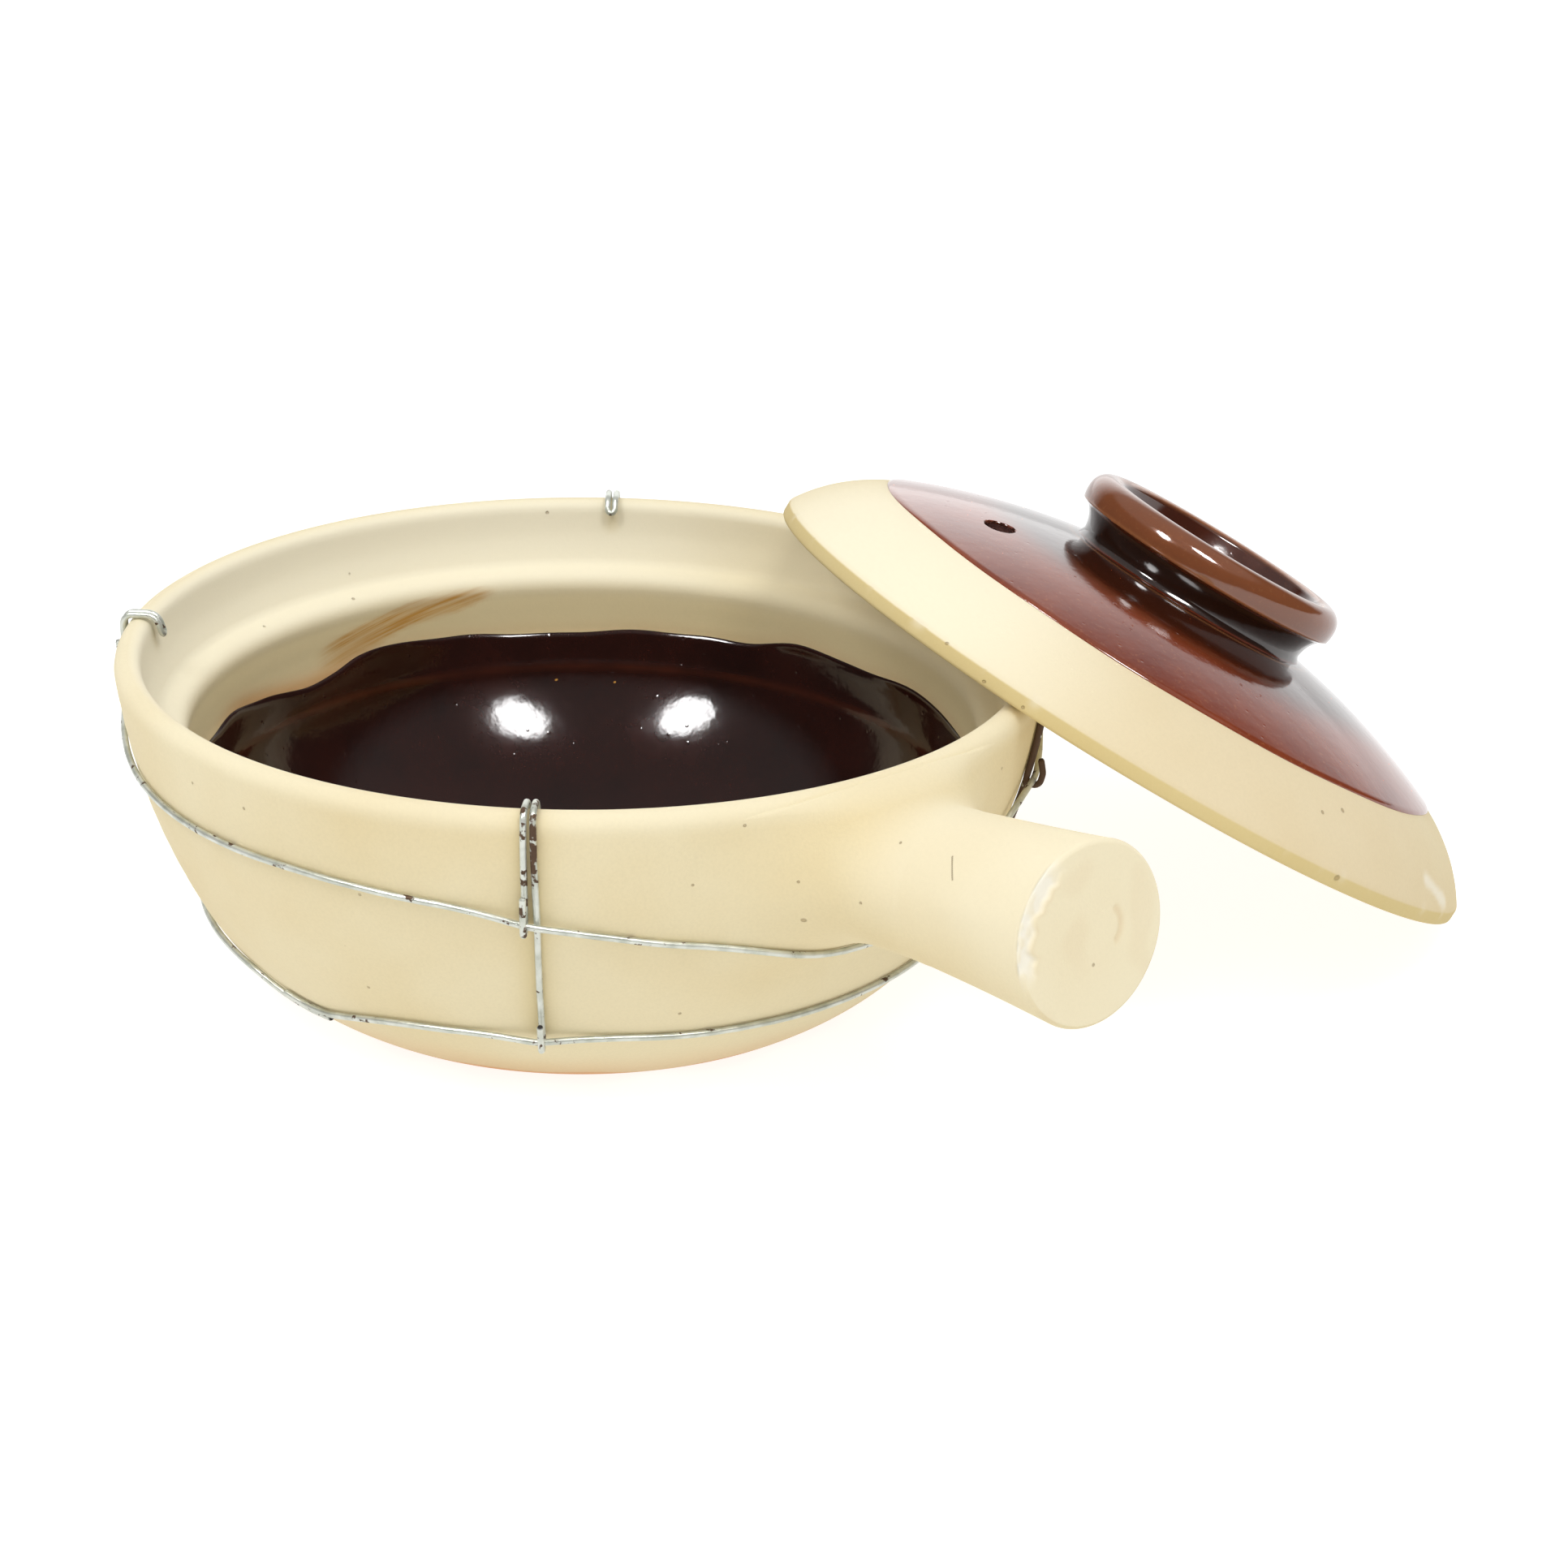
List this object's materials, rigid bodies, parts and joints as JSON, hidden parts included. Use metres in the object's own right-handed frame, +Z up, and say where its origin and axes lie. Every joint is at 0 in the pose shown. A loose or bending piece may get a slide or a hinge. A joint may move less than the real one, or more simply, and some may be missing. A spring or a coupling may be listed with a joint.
{
  "type": "clay cooking pot",
  "caption": "Shallow round clay cooking pot with a glazed inside, stub side handle, wire cage, and a domed lid with a steam hole and ring knob leaning on its rim.",
  "frame": {"origin": "centre of the pot's foot, on the surface it stands on", "axes": "+Z up, +X along the handle in plan, +Y to the side the lid leans towards"},
  "size_m": [0.2597, 0.2928, 0.099],
  "materials": {
    "clay": "matt unglazed buff clay",
    "dark_glaze": "glossy dark brown glaze",
    "brown_glaze": "glossy red-brown glaze",
    "wire": "galvanised steel wire, lightly stained"
  },
  "bodies": {
    "pot": {"pot_body": "clay", "handle": "clay", "inner_glaze": "dark_glaze", "upper_hoop": "wire", "lower_hoop": "wire", "front_tie": "wire", "left_tie": "wire", "back_tie": "wire", "right_tie": "wire"},
    "lid": {"lid_body": "clay", "lid_glaze": "brown_glaze", "lid_knob": "brown_glaze"}
  },
  "joints": [
    {"name": "lid_lift", "type": "slide", "parent": "pot", "child": "lid", "axis": [0, 0, 1], "range_m": [0, 0.12]}
  ]
}
